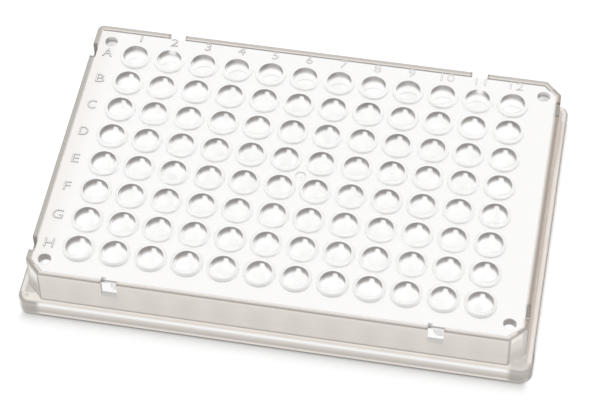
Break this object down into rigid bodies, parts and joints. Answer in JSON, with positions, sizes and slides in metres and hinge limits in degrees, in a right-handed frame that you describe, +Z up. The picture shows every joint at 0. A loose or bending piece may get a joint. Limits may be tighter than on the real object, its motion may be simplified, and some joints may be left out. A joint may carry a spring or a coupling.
{
  "type": "well plate",
  "caption": "Skirted microplate with a grid of tapered wells, raised well rims, a perimeter lip with notches, and a stacking flange.",
  "frame": {"origin": "centre of the footprint, on the plane that the flange stands on", "axes": "+X along the columns from 1 to 12, +Y across the rows from H to A, +Z up out of the wells"},
  "size_m": [0.1278, 0.0854, 0.0155],
  "materials": {
    "plate": "gloss, translucent"
  },
  "bodies": {
    "root": {"plate": "plate"}
  },
  "joints": []
}
